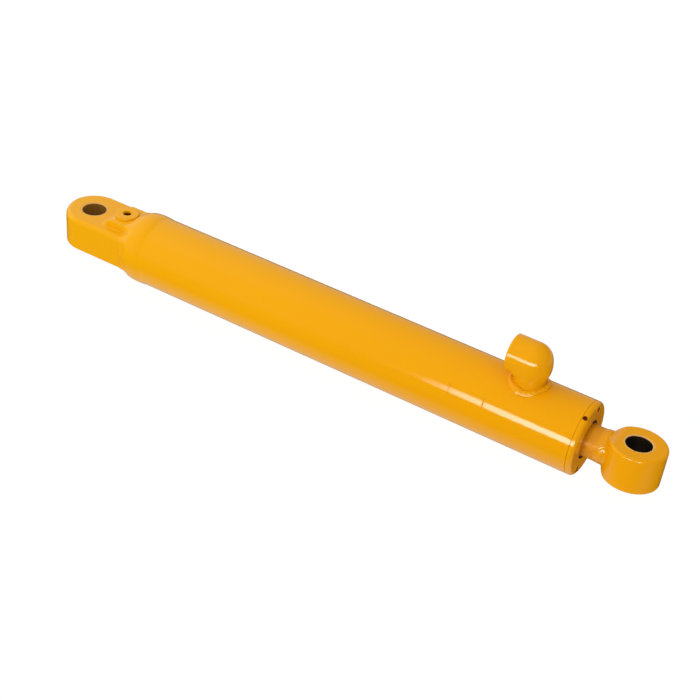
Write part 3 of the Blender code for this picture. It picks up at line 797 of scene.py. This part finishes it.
def base_cap_field(x, y, z):
    """Forged cap: round back, flat lug and port block, flowing into each other."""
    radial = np.hypot(y, z)
    outline = np.where(x < 0, np.hypot(x, y), np.abs(y)) - LUG_R
    front_easing = 0.0030 + 0.0042 * np.clip(0.4 - y / 0.030, 0.0, 1.0)
    lug = common(outline, z - LUG_THICK / 2, front_easing)
    lug = common(lug, -LUG_THICK / 2 - z, 0.0030)
    lug = common(lug, x - LUG_END_X, 0.001)
    start, slope = CAP_CONE[0] - 0.0030 * np.clip(z / 0.030, 0.0, 1.0), CAP_CONE[1]
    back = (radial - LUG_R - (x - start) * slope) / math.hypot(1.0, slope)
    back = common(common(back, radial - TUBE_R, 0.0045), CAP_FACE_X - x, 0.0020)
    bevel = (x - CAP_SHOULDER_X) * CAP_BEVEL[0] + (radial - TUBE_R) * CAP_BEVEL[1]
    back = common(back, bevel, 0.0005)
    back = np.maximum(back, x - CAP_JOINT_X)
    spigot = drum(x, radial, CAP_FACE_X + 0.005, CAP_INNER_X, BORE_R - 0.0003, 0.0010)
    back = np.minimum(back, spigot)
    low = (0.0, -BLOCK_HALF_Y, 0.0)
    high = (BLOCK_X[1], BLOCK_HALF_Y, BLOCK_TOP_Z)
    ramp = (z - LUG_THICK / 2 - x + BLOCK_X[0]) * 0.7071
    boss = common(block(x, y, z, low, high, 0.0022), ramp, 0.0050)
    return merged(merged(lug, boss, 0.0024), back, CAP_FILLET)


def base_cap():
    """The cap's forging with its machined pad, port and pin bore."""
    low = (-LUG_R - 0.003, -TUBE_R - 0.003, -TUBE_R - 0.003)
    high = (CAP_INNER_X + 0.003, TUBE_R + 0.003, TUBE_R + 0.003)
    cap = sculpted("base_cap_finished", base_cap_field, low, high, 0.00105)
    outline = [(0.030, 0.0), (0.030, PAD_R), (PAD_TOP_Z, PAD_R), (PAD_TOP_Z, 0.0)]
    pad = lathe("pad", rounded(outline, 0.0018, 4, closed=False), axis="Z")
    pad.data.transform(Matrix.Translation((PORT_X, 0, 0)))
    boolean(cap, pad, "UNION")
    boolean(cap, pin_bore("bore", LUG_THICK / 2, BUSH_R - SEAT, 0.0006))
    mouth_z = PAD_TOP_Z - 0.0020
    boolean(cap, placed_bar("mouth", (PORT_X, 0, mouth_z), (PORT_X, 0, PAD_TOP_Z), PORT_MOUTH_R, 0.0006))
    boolean(cap, placed_bar("drilling", (PORT_X, 0, 0), (PORT_X, 0, mouth_z + 0.001), PORT_R))
    boolean(cap, placed_bar("way", (PORT_X - PORT_R, 0, 0), (CAP_INNER_X + 0.001, 0, 0), OIL_WAY_R))
    finish_piece(cap, "base_cap", "cap_paint")


def ripple(turn, count, depth):
    """The overlapping crescents of a weld bead, from 0 to depth, once round."""
    phase = (turn * count / (2 * math.pi)) % 1.0
    return depth * (1.0 - (2 * phase - 1.0) ** 2)


def wobble(turn, depth):
    """Slow unevenness of a hand-laid bead."""
    return depth * (np.sin(3 * turn + 0.7) + 0.6 * np.sin(7 * turn + 2.1) + 0.4 * np.sin(13 * turn))


def base_weld():
    """The dressed bead between cap and tube: a low, smooth swelling."""
    low, high = WELD_X
    buried_r = TUBE_R - 0.0003
    crest = WELD_CREST_R - 0.0002
    count = 28
    rise = [math.sin(math.pi * i / count) ** 0.8 for i in range(count + 1)]
    outline = [
        (low + (high - low) * i / count, buried_r + (crest - buried_r) * share)
        for i, share in enumerate(rise)
    ]
    outline += [(CAP_JOINT_X + 0.0068, TUBE_R - 0.0012), (CAP_JOINT_X + 0.0003, 0.0476)]
    outline += [(CAP_SHOULDER_X - 0.002, TUBE_R - 0.0012)]

    def swell(along, radius, turn):
        proud = np.clip((radius - buried_r) / (crest - buried_r), 0.0, 1.0)
        return radius - proud * (0.00012 + wobble(turn, 0.00006))

    finish_piece(lathe("base_weld_finished", outline, radius_at=swell), "base_weld", "smooth_paint")


# -------- pins' bushes


PIN_R = 0.0175
BUSH_HALF = (LUG_THICK - 0.0004) / 2
BUSH_CHAMFER = 0.0008
SLIT_WIDTH = 0.0010
SLIT_ANGLE = math.radians(-86.0)
INTO_EYE = Matrix.Translation((EYE_X, 0, 0)) @ Matrix.Rotation(EYE_TURN, 4, "X")


def bush(node):
    """A pin's bush, with flat rims and a chamfered bore, round the base pin's axis."""
    half, mouth = BUSH_HALF, PIN_R + BUSH_CHAMFER
    inside = [(half, mouth), (half - BUSH_CHAMFER, PIN_R), (BUSH_CHAMFER - half, PIN_R), (-half, mouth)]
    outline = [(-half, BUSH_R), (half, BUSH_R)] + inside
    return lathe(f"{node}_finished", rounded(outline, 0.0003, 2), axis="Z")


def slit_cutter():
    """A thin plate along a bush's wall."""
    low, high = PIN_R - 0.002, BUSH_R + 0.002
    mesh = bpy.data.meshes.new("slit")
    shape = bmesh.new()
    bmesh.ops.create_cube(shape, size=1.0, matrix=Matrix.Diagonal((high - low, SLIT_WIDTH, 0.08, 1)))
    shape.to_mesh(mesh)
    shape.free()
    mesh.transform(Matrix.Rotation(SLIT_ANGLE, 4, "Z") @ Matrix.Translation(((low + high) / 2, 0, 0)))
    return add_object("slit", mesh)


def base_pin_bush():
    """The plain bush in the lug."""
    finish_piece(bush("base_pin_bush"), "base_pin_bush", "base_bush")


def rod_eye_bush():
    """The wrapped bush in the rod's eye, with its slit."""
    made = bush("rod_eye_bush")
    boolean(made, slit_cutter())
    made.data.transform(INTO_EYE)
    finish_piece(made, "rod_eye_bush", "eye_bush")


# -------- barrel and its port elbow

THREAD_PITCH = 0.0020
THREAD_DEPTH = 0.0007
TUBE_THREAD = (0.0462, 0.7620)  # its radius, and where it starts
GLAND_THREAD = (0.0459, 0.7640)
PORT_WAY_R = 0.0080
OUTLET_R = 0.0132
OUTLET_DEPTH = 0.0190
STEM_TAPER = 0.09
STEM_TOP_EASED = 0.0150
ELBOW_FILLET = 0.0090


def barrel():
    """The tube: honed bore, internal thread at the gland end, and the rod-end port's hole."""
    section = section_of("barrel_tube")
    outline = threaded(section, *TUBE_THREAD, TUBE_END_X - 0.002, THREAD_PITCH, THREAD_DEPTH)
    tube = lathe("barrel_tube_finished", rounded(outline, 0.0004, 2))
    ends = ((ELBOW_X, 0, BORE_R - 0.01), (ELBOW_X, 0, TUBE_R + 0.01))
    boolean(tube, placed_bar("port", *ends, PORT_WAY_R))
    finish_piece(tube, "barrel_tube", "smooth_paint")


def elbow_field(x, y, z):
    """Forged elbow: round leg, ball at the bend and a stem down to the tube."""
    up = z - ELBOW_AXIS_Z
    reach = np.maximum(x - ELBOW_X, 0.0)
    leg = common(np.sqrt(reach**2 + y**2 + up**2) - LEG_R, OUTLET_X - x, 0.0011)
    taper = STEM_R + STEM_TAPER * (z - TUBE_R)
    stem = common(np.hypot(x - ELBOW_X, y) - taper, z - ELBOW_AXIS_Z, STEM_TOP_EASED)
    return np.maximum(merged(leg, stem, ELBOW_FILLET), TUBE_R - SEAT - np.hypot(y, z))


def port_elbow():
    """The elbow with its bored and threaded outlet."""
    low = (OUTLET_X - 0.003, -LEG_R - 0.003, FOOT_Z)
    high = (ELBOW_X + LEG_R + 0.003, LEG_R + 0.003, ELBOW_AXIS_Z + LEG_R + 0.003)
    elbow = sculpted("port_elbow_finished", elbow_field, low, high, 0.0007)
    mouth_r, end_x = OUTLET_R + 0.0018, ELBOW_X - OUTLET_X + 0.006
    outline = [(-0.002, 0.0), (-0.002, mouth_r), (0.0, mouth_r), (0.0018, OUTLET_R)]
    outline += [(OUTLET_DEPTH, OUTLET_R), (OUTLET_DEPTH, PORT_WAY_R), (end_x, PORT_WAY_R), (end_x, 0.0)]
    run = lathe("run", threaded(outline, OUTLET_R, 0.002, OUTLET_DEPTH - 0.003, 0.0018, -0.0008), 96)
    run.data.transform(Matrix.Translation((OUTLET_X, 0, ELBOW_AXIS_Z)))
    boolean(elbow, run)
    ends = ((ELBOW_X, 0, BORE_R - 0.01), (ELBOW_X, 0, ELBOW_AXIS_Z))
    boolean(elbow, placed_bar("rise", *ends, PORT_WAY_R))
    finish_piece(elbow, "port_elbow", "cast_paint")


def elbow_weld_field(x, y, z):
    """A fat fillet bead that follows the stem's foot round the tube."""
    turn = np.arctan2(y, x - ELBOW_X)
    out = np.hypot(x - ELBOW_X, y)
    tube = np.hypot(y, z) - TUBE_R
    lean = turn + 60.0 * tube
    size = 0.0032 + ripple(lean, 24, 0.0006) + wobble(turn, 0.00040)
    bead = np.hypot(out - ELBOW_WELD_R + 0.0046, tube * 0.95) - size
    toe = np.hypot(out - STEM_R + 0.0006, tube * 0.62) - 0.0021 - wobble(turn + 1.0, 0.0003)
    bead = merged(bead, toe, 0.0012)
    return np.maximum(np.maximum(bead, -SEAT - tube), STEM_R - 0.0012 - out)


def port_elbow_weld():
    """The bead round the elbow's foot."""
    reach = ELBOW_WELD_R + 0.002
    low = (ELBOW_X - reach, -reach, FOOT_Z)
    high = (ELBOW_X + reach, reach, TUBE_R + 0.006)
    bead = sculpted("port_elbow_weld_finished", elbow_weld_field, low, high, 0.0006)
    finish_piece(bead, "port_elbow_weld", "weld_paint")


# -------- gland, seals and piston


def gland_edge(corner):
    """How far a corner of the gland is eased: most at the collar's front rim."""
    front = corner.x > GLAND_FACE_X - 0.0045 and corner.y > TUBE_R - 0.0045
    return 0.0050 if front else 0.0004


def gland():
    """Gland with spanner holes in its face and hook holes in its collar."""
    outline = threaded(section_of("gland"), *GLAND_THREAD, TUBE_END_X - 0.001, THREAD_PITCH, -THREAD_DEPTH)
    made = lathe("gland_finished", rounded(outline, gland_edge, 4))
    for turn in map(math.radians, PIN_HOLE_ANGLES):
        y, z = PIN_HOLE_CIRCLE_R * math.cos(turn), PIN_HOLE_CIRCLE_R * math.sin(turn)
        ends = ((GLAND_FACE_X - 0.0062, y, z), (GLAND_FACE_X, y, z))
        boolean(made, placed_bar("pin_hole", *ends, PIN_HOLE_R, 0.0003, 40))
    place = Vector((HOOK_HOLE_X, 0, 0))
    for turn in map(math.radians, HOOK_HOLE_ANGLES):
        out = Vector((0, math.cos(turn), math.sin(turn)))
        ends = (place + out * (TUBE_R - 0.0060), place + out * TUBE_R)
        boolean(made, placed_bar("hook_hole", *ends, HOOK_HOLE_R, 0.0002, 40))
    finish_piece(made, "gland", "gland_paint")


def fine_ring(node, finish, edge=0.0003):
    """A turned CAD piece, drawn again with fine steps and eased edges."""
    made = lathe(f"{node}_finished", rounded(section_of(node), edge, 2), RING_STEPS)
    finish_piece(made, node, finish)


def rod_wiper():
    """The wiper: it hugs the rod and fills the gland's mouth."""
    low, high = span("rod_wiper", 0)
    groove_r = span("rod_wiper", 1)[1]
    inner, mouth, groove_x = ROD_R + 0.0001, 0.0264, 0.8012
    outline = [(low, groove_r), (groove_x, groove_r), (groove_x, mouth), (high + 0.0003, mouth)]
    outline += [(high + 0.0003, inner), (low, inner)]
    made = lathe("rod_wiper_finished", rounded(outline, 0.0003, 2), RING_STEPS)
    finish_piece(made, "rod_wiper", "wiper")


def round_ring(node, finish):
    """An O-ring, truly round in section."""
    outline = section_of(node)
    low, high = min(p[0] for p in outline), max(p[0] for p in outline)
    inner, outer = min(p[1] for p in outline), max(p[1] for p in outline)
    radius = (outer - inner) / 2
    section = [
        ((low + high) / 2 + radius * math.cos(a), (inner + outer) / 2 + radius * math.sin(a))
        for a in (2 * math.pi * i / 20 for i in range(20))
    ]
    finish_piece(lathe(f"{node}_finished", section, RING_STEPS), node, finish)


def rod_shaft():
    """Chromed rod with the turned spigot and its thread for the piston's nut."""
    spigot_r = 0.015875
    shoulder_x = span("piston", 0)[1] + 0.0003
    nut_x = span("piston_nut", 0)[1]
    outline = [
        (ROD_END_X, 0.0),
        (ROD_END_X, spigot_r - 0.0015),
        (ROD_END_X + 0.0015, spigot_r),
        (nut_x, spigot_r),
        (shoulder_x, spigot_r),
        (shoulder_x, ROD_R - 0.0008),
        (shoulder_x + 0.0008, ROD_R),
        (ROD_PREP_X - 0.0045, ROD_R),
        (ROD_PREP_X, 0.0140),
        (ROD_PREP_X, 0.0),
    ]
    outline = threaded(outline, spigot_r, ROD_END_X + 0.002, nut_x, THREAD_PITCH, -THREAD_DEPTH)
    shaft = lathe("rod_shaft_finished", rounded(outline, 0.0002, 2, closed=False))
    finish_piece(shaft, "rod_shaft", "chrome")


NUT_HALF_FLATS = 0.0238
NUT_CHAMFER_R = 0.0262


def nut_field(x, y, z):
    """Hexagon with its corners chamfered at both ends."""
    ends = slab(x, *span("piston_nut", 0))
    turns = [math.radians(30 + 60 * i) for i in range(6)]
    hexagon = np.max([y * math.cos(a) + z * math.sin(a) - NUT_HALF_FLATS for a in turns], axis=0)
    chamfer = (np.hypot(y, z) - NUT_CHAMFER_R + 0.5 * ends) * 0.9
    return common(common(hexagon, ends, 0.0003), chamfer, 0.0002)


def piston_nut():
    """The nut that clamps the piston."""
    low, high = span("piston_nut", 0)
    corner_low, corner_high = (low - 0.002, -0.029, -0.029), (high + 0.002, 0.029, 0.029)
    nut = sculpted("piston_nut_finished", nut_field, corner_low, corner_high, 0.0008)
    ends = ((low - 0.002, 0, 0), (high + 0.002, 0, 0))
    boolean(nut, placed_bar("nut_bore", *ends, 0.0162))
    finish_piece(nut, "piston_nut", "steel")


# -------- rod eye

NECK_R = 0.0226
NECK_END_X = EYE_X - 0.019
NECK_BEVEL = (0.88, 0.48)
EYE_TRIM_X = 0.8425  # from here towards the rod, the eye grows thinner
EYE_TRIM_SLOPE = 0.45


def eye_field(x, y, z):
    """Round eye with a neck, its flat faces falling away a little towards the rod."""
    across = y * math.cos(EYE_TURN) + z * math.sin(EYE_TURN)
    up = z * math.cos(EYE_TURN) - y * math.sin(EYE_TURN)
    radial = np.hypot(y, z)
    eye = common(np.hypot(x - EYE_X, across) - EYE_R, -EYE_WIDTH / 2 - up, 0.0015)
    eye = common(eye, up - EYE_WIDTH / 2, 0.0032)
    trim = np.abs(up) - EYE_WIDTH / 2 + (EYE_TRIM_X - x) * EYE_TRIM_SLOPE
    eye = common(eye, trim / math.hypot(1.0, EYE_TRIM_SLOPE), 0.0010)
    neck = drum(x, radial, NECK_START_X, NECK_END_X, NECK_R, 0.0004)
    bevel = (NECK_START_X + 0.0050 - x) * NECK_BEVEL[0] + (radial - NECK_R) * NECK_BEVEL[1]
    return merged(eye, np.maximum(neck, bevel), 0.0025)


def rod_eye():
    """The eye's forging and its bored seat for the bush."""
    low = (NECK_START_X - 0.003, -EYE_R - 0.004, -EYE_R - 0.004)
    high = (EYE_X + EYE_R + 0.003, EYE_R + 0.004, EYE_R + 0.004)
    eye = sculpted("rod_eye_finished", eye_field, low, high, 0.0008)
    bore = pin_bore("bore", EYE_WIDTH / 2, BUSH_R - SEAT, 0.0006)
    bore.data.transform(INTO_EYE)
    boolean(eye, bore)
    finish_piece(eye, "rod_eye", "cast_paint")


def rod_eye_weld():
    """A low bead round the joint of rod and eye, fuller on its upper side."""
    low, high = EYE_WELD_X
    buried, height = ROD_R - 0.0003, 0.0013
    shares = [i / 36 for i in range(37)]
    rise = [math.sin(math.pi * min(1.0, 0.02 + t * 1.3) * 0.5) for t in shares]
    outline = [(low + (high - low) * t, buried + height * r) for t, r in zip(shares, rise)]
    outline += [(high, 0.0180), (ROD_PREP_X, 0.0145), (low, 0.0200)]

    def laid(along, radius, turn):
        proud = np.clip((radius - buried) / height, 0.0, 1.0)
        lean = turn + (along - low) * 30.0
        upper = 0.0004 * np.sin(turn)
        return radius + proud * (upper - ripple(lean, 40, 0.00022) - wobble(turn, 0.00008))

    bead = lathe("rod_eye_weld_finished", outline, 320, laid)
    finish_piece(bead, "rod_eye_weld", "dull_weld_paint")


# -------- studio

CAMERA_TURN = 28.17  # degrees round the object, from looking along +Y
CAMERA_RISE = 35.85
CAMERA_ROLL = 6.44
CAMERA_LENS = 73.14
CAMERA_PLACE = Vector((0.76452, -1.39477, 1.17195))
WHITE = colour(1.0, 1.0, 1.0)
FILL_SIDE = (-0.673, -0.697, 0.249)  # where the light on matt surfaces comes from
FILL_LEVEL = 0.945
FILL_LEAN = 0.60
ROOM_SIDE = (-0.887, 0.095, -0.187)  # the room's bright side in reflections
ROOM_LEVEL = 0.62
ROOM_DARK = 0.03
ROOM_FRONT = (-0.65, -0.25, 0.35, 1.0)  # from, to, and the share of light there
FLOOR_LIFT = 0.97
FLOOR_FILL = 0.92
FLOOR_BAND = ((-0.115, -0.040), (-0.038, -0.002), (0.15, 0.80))
FLOOR_LEVEL = 0.56
FLOOR_SHADE = 0.03
FLOOR_FAR = 0.40
FLOOR_ENDS = ((0.42, 0.50, 1.0, 0.35), (-0.40, -0.35, 0.1, 1.0))
STRIP_PLACE = Vector((0.755, -1.95, 0.395))
STRIP_SIZE = (2.49, 0.56)
STRIP_LEVEL = 11.0
STRIP_EDGE = 0.035
STRIP_FADE = 0.32


def camera():
    """A long lens from the front right, a little rolled."""
    data = bpy.data.cameras.new("camera")
    data.lens = CAMERA_LENS
    made = add_object("camera", data)
    turn, rise = math.radians(CAMERA_TURN), math.radians(CAMERA_RISE)
    back = Vector((math.sin(turn) * math.cos(rise), -math.cos(turn) * math.cos(rise), math.sin(rise)))
    look = (-back).to_track_quat("-Z", "Y").to_matrix().to_4x4()
    roll = Matrix.Rotation(math.radians(CAMERA_ROLL), 4, "Z")
    made.matrix_world = Matrix.Translation(CAMERA_PLACE) @ look @ roll
    bpy.context.scene.camera = made


def along_view(graph, direction, axis):
    """How far the shaded ray points along an axis, from -1 to 1."""
    made = graph.add("VectorMath", {"operation": "DOT_PRODUCT"})
    for socket, value in zip(made.inputs, (direction, axis)):
        graph.feed(socket, value)
    return made.outputs["Value"]


def one_of(graph, share, first, second):
    """The first shader where share is 0, and the second where it is 1."""
    mixed = graph.add("MixShader")
    for socket, value in zip(mixed.inputs, (share, first.outputs[0], second.outputs[0])):
        graph.feed(socket, value)
    return mixed


def backdrop():
    """A white room. Matt surfaces see it brighter on the left and in front; in reflections it is
    grey on the left, and falls off to dark on the right and in front."""
    world = bpy.data.worlds.new("studio")
    bpy.context.scene.world = world
    world.cycles.sampling_method = "NONE"
    graph = Graph(world)
    path = graph.add("LightPath").outputs
    direction = graph.add("TexCoord").outputs["Generated"]
    toward = along_view(graph, direction, ROOM_SIDE)
    wall = graph.ramp(toward, ROOM_DARK, ROOM_LEVEL, ROOM_DARK, ROOM_LEVEL, smooth=False)
    mirrored = graph.times(wall, graph.ramp(graph.apart(direction)[1], *ROOM_FRONT))
    lean = graph.times(along_view(graph, direction, FILL_SIDE), FILL_LEAN)
    soft = graph.add("Background", Color=WHITE, Strength=graph.plus(lean, FILL_LEVEL))
    room = graph.add("Background", Color=WHITE, Strength=mirrored)
    white = graph.add("Background", Color=WHITE, Strength=1.0)
    mixed = one_of(graph, path["Is Glossy Ray"], soft, room)
    mixed = one_of(graph, path["Is Camera Ray"], mixed, white)
    graph.add("OutputWorld", Surface=mixed.outputs[0])


def sheet(name, size, segments):
    """A flat grid that belongs to the studio."""
    mesh = bpy.data.meshes.new(name)
    shape = bmesh.new()
    bmesh.ops.create_grid(shape, x_segments=segments, y_segments=segments, size=0.5)
    shape.to_mesh(mesh)
    shape.free()
    mesh.transform(Matrix.Diagonal((*size, 1.0, 1.0)))
    made = add_object(name, mesh)
    return made


def studio_material(name):
    """A material that gives light without being sampled as a lamp, and its graph."""
    made = bpy.data.materials.new(name)
    graph = Graph(made)
    made.cycles.emission_sampling = "NONE"
    return made, graph


def floor_mirrored(graph):
    """How bright the floor looks in reflections: only a band beside the barrel catches the light,
    up to the soft shade that lies behind it, and then the far floor."""
    x, y, _ = graph.apart(graph.add("NewGeometry").outputs["Position"])
    near = graph.ramp(y, *FLOOR_BAND[0])
    for end in FLOOR_ENDS:
        near = graph.times(near, graph.ramp(x, *end))
    shade = graph.ramp(y, *FLOOR_BAND[1], 1.0, FLOOR_SHADE)
    beyond = graph.ramp(y, *FLOOR_BAND[2], 0.0, FLOOR_FAR)
    band = graph.times(graph.times(near, shade), FLOOR_LEVEL)
    return graph.plus(band, beyond)


def floor():
    """A wide pale floor under the barrel, a shade darker in reflections than to the eye."""
    made = sheet("floor", (60.0, 60.0), 8)
    made.location.z = CAD_BOX[0][2] - 0.0005
    material, graph = studio_material("pale_floor")
    shade = graph.ramp(graph.noise(graph.place(), 3.0), 0.3, 0.7, 0.86, 0.90)
    path = graph.add("LightPath").outputs
    matt = graph.add("BsdfDiffuse", Color=graph.times(shade, 2.0 - 2.0 * FLOOR_LIFT))
    lift = graph.add("Emission", Strength=FLOOR_LIFT)
    seen = graph.add("AddShader")
    for socket, shader in zip(seen.inputs, (matt, lift)):
        graph.feed(socket, shader.outputs[0])
    soft = graph.add("Emission", Strength=FLOOR_FILL)
    mirrored = graph.add("Emission", Strength=floor_mirrored(graph))
    mixed = one_of(graph, path["Is Glossy Ray"], soft, mirrored)
    graph.surface(one_of(graph, path["Is Camera Ray"], mixed, seen))
    made.data.materials.append(material)


def strip():
    """The long softbox that draws the shine along the barrel; it fades out at its left end."""
    made = sheet("strip", STRIP_SIZE, 1)
    made.matrix_world = Matrix.Translation(STRIP_PLACE) @ Matrix.Rotation(math.radians(90), 4, "X")
    material, graph = studio_material("strip_light")
    along = graph.apart(graph.place())[0]
    left = -STRIP_SIZE[0] / 2
    rise = graph.ramp(along, left, left + STRIP_EDGE, 0.0, 0.6 * STRIP_LEVEL)
    rest = graph.ramp(along, left + STRIP_EDGE, left + STRIP_FADE, 0.0, 0.4 * STRIP_LEVEL, smooth=False)
    level = graph.plus(rise, rest)
    graph.surface(graph.add("Emission", Strength=level))
    made.data.materials.append(material)
    for ray in ("camera", "diffuse", "shadow", "transmission"):
        setattr(made, f"visible_{ray}", False)


def studio():
    """Camera, room, floor and the strip that draws the shine."""
    camera()
    backdrop()
    floor()
    strip()
    bpy.context.scene.view_settings.view_transform = "Standard"


# -------- everything

base_cap()
base_weld()
base_pin_bush()
barrel()
port_elbow()
port_elbow_weld()
gland()
round_ring("gland_o_ring", "nitrile")
fine_ring("gland_backup_ring", "nylon")
fine_ring("rod_guide_band_inner", "nylon")
fine_ring("rod_guide_band_outer", "nylon")
fine_ring("rod_buffer_seal", "urethane")
fine_ring("rod_seal", "urethane")
rod_wiper()
fine_ring("piston", "steel")
round_ring("piston_o_ring", "nitrile")
fine_ring("piston_wear_ring_rear", "nylon")
fine_ring("piston_wear_ring_front", "nylon")
fine_ring("piston_seal", "urethane")
fine_ring("piston_seal_energiser", "nitrile")
rod_shaft()
piston_nut()
rod_eye()
rod_eye_weld()
rod_eye_bush()
studio()
